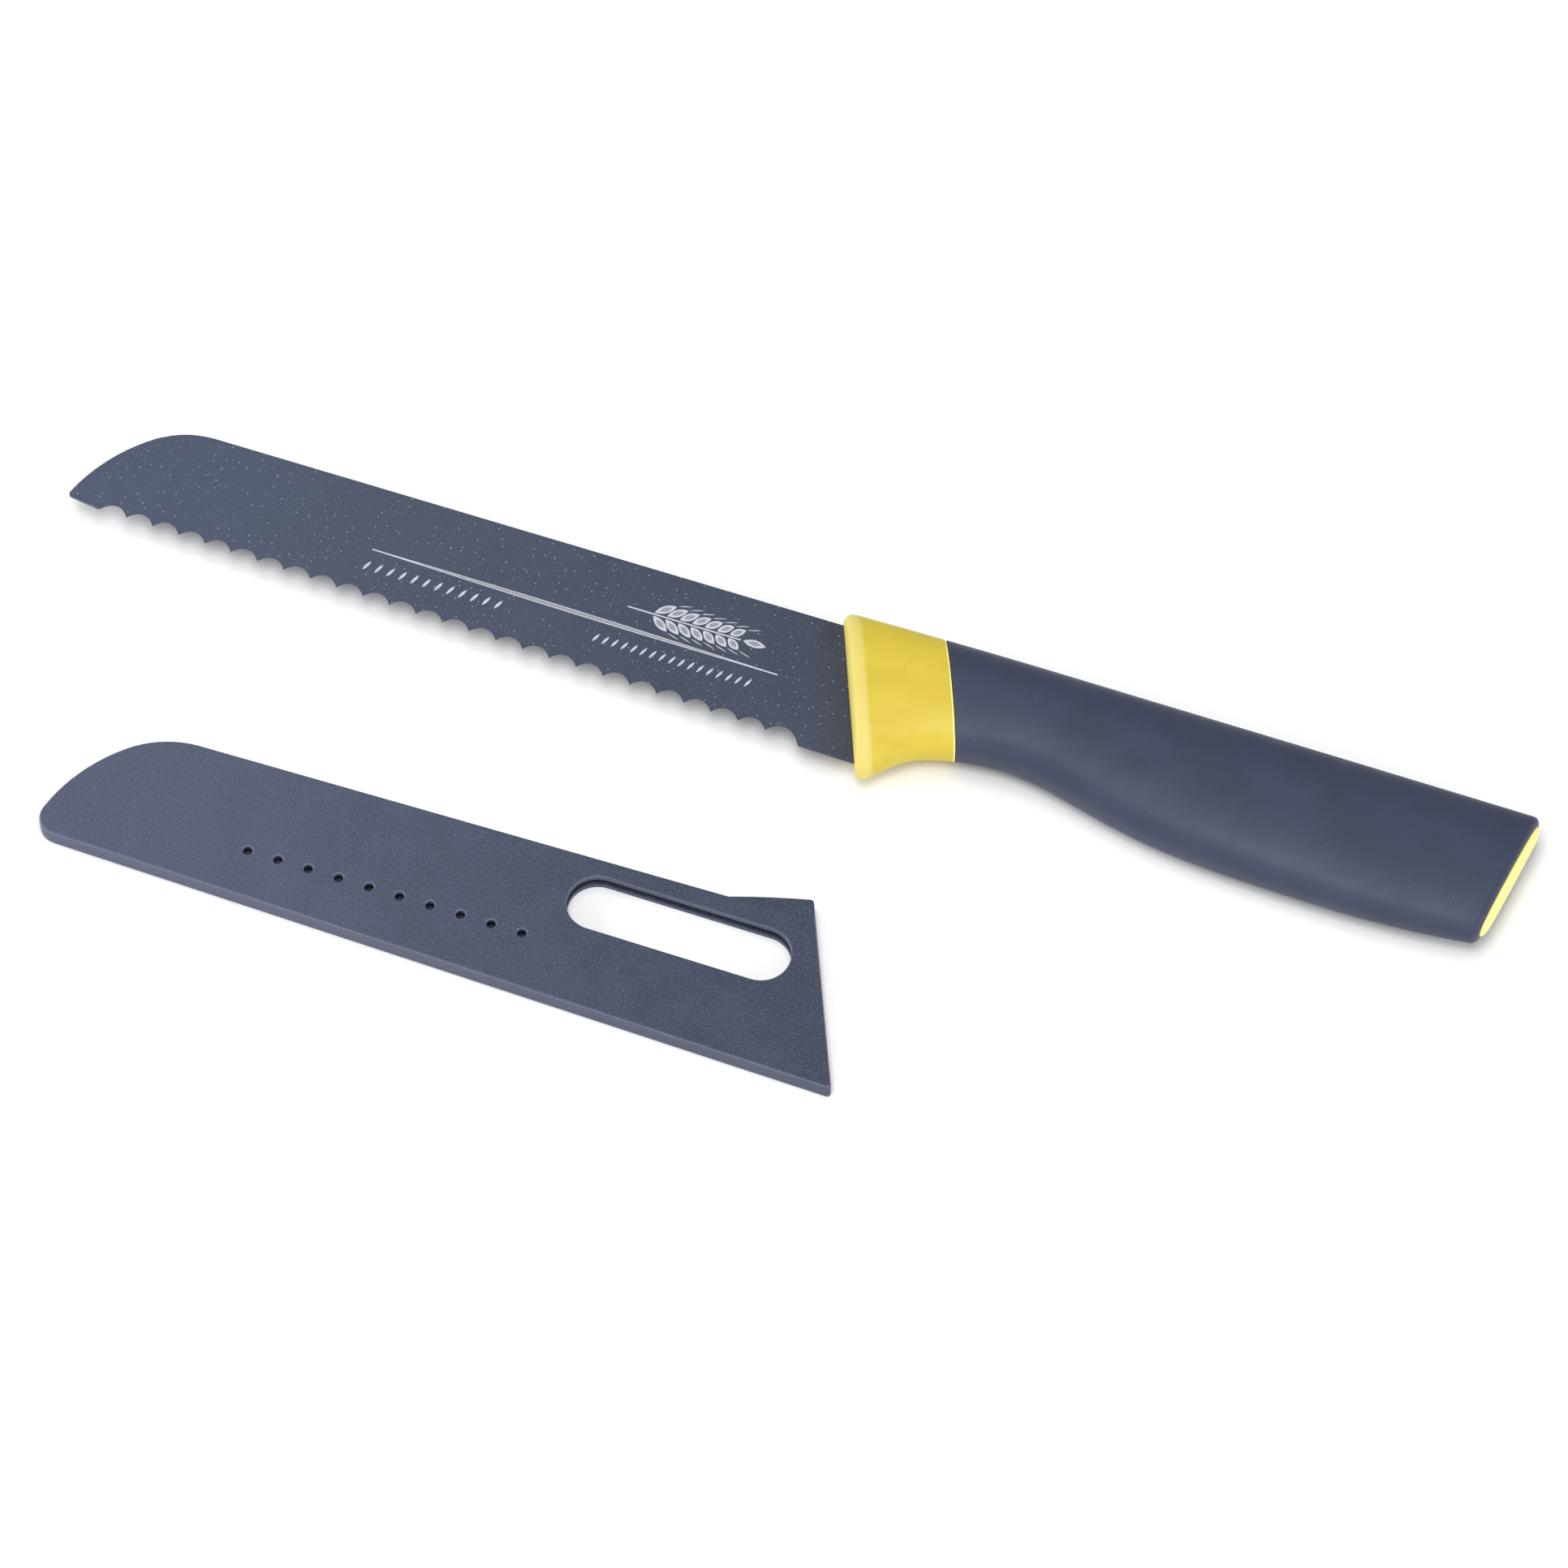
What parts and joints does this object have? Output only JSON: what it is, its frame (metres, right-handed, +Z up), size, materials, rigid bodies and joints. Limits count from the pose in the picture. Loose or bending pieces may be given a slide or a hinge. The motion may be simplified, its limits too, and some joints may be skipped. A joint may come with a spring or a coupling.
{
  "type": "bread knife",
  "caption": "Serrated bread knife with a coated straight-backed blade, a two-colour moulded handle and a slotted slide-on blade guard lying beside it.",
  "frame": {"origin": "middle of the bounding box's underside, on the surface the knife and its guard lie on", "axes": "+X from the blade's tip to the butt, along the straight back of the blade; +Y from the teeth to the back; +Z up, out of the blade's side"},
  "size_m": [0.3536, 0.1188, 0.0161],
  "materials": {
    "blade_coating": "satin slate-blue non-stick coating on steel",
    "core_plastic": "satin yellow moulded plastic",
    "grip_soft_touch": "slate-blue soft-touch overmould",
    "guard_plastic": "slate-blue moulded plastic with a fine matt grain"
  },
  "bodies": {
    "knife": {"blade": "blade_coating", "handle_core": "core_plastic", "grip": "grip_soft_touch"},
    "guard": {"guard_upper_shell": "guard_plastic", "guard_lower_shell": "guard_plastic"}
  },
  "joints": [
    {"name": "guard_slide", "type": "slide", "parent": "knife", "child": "guard", "axis": [-0.9998, -0.0218, 0], "range_m": [0, 0.205]}
  ]
}
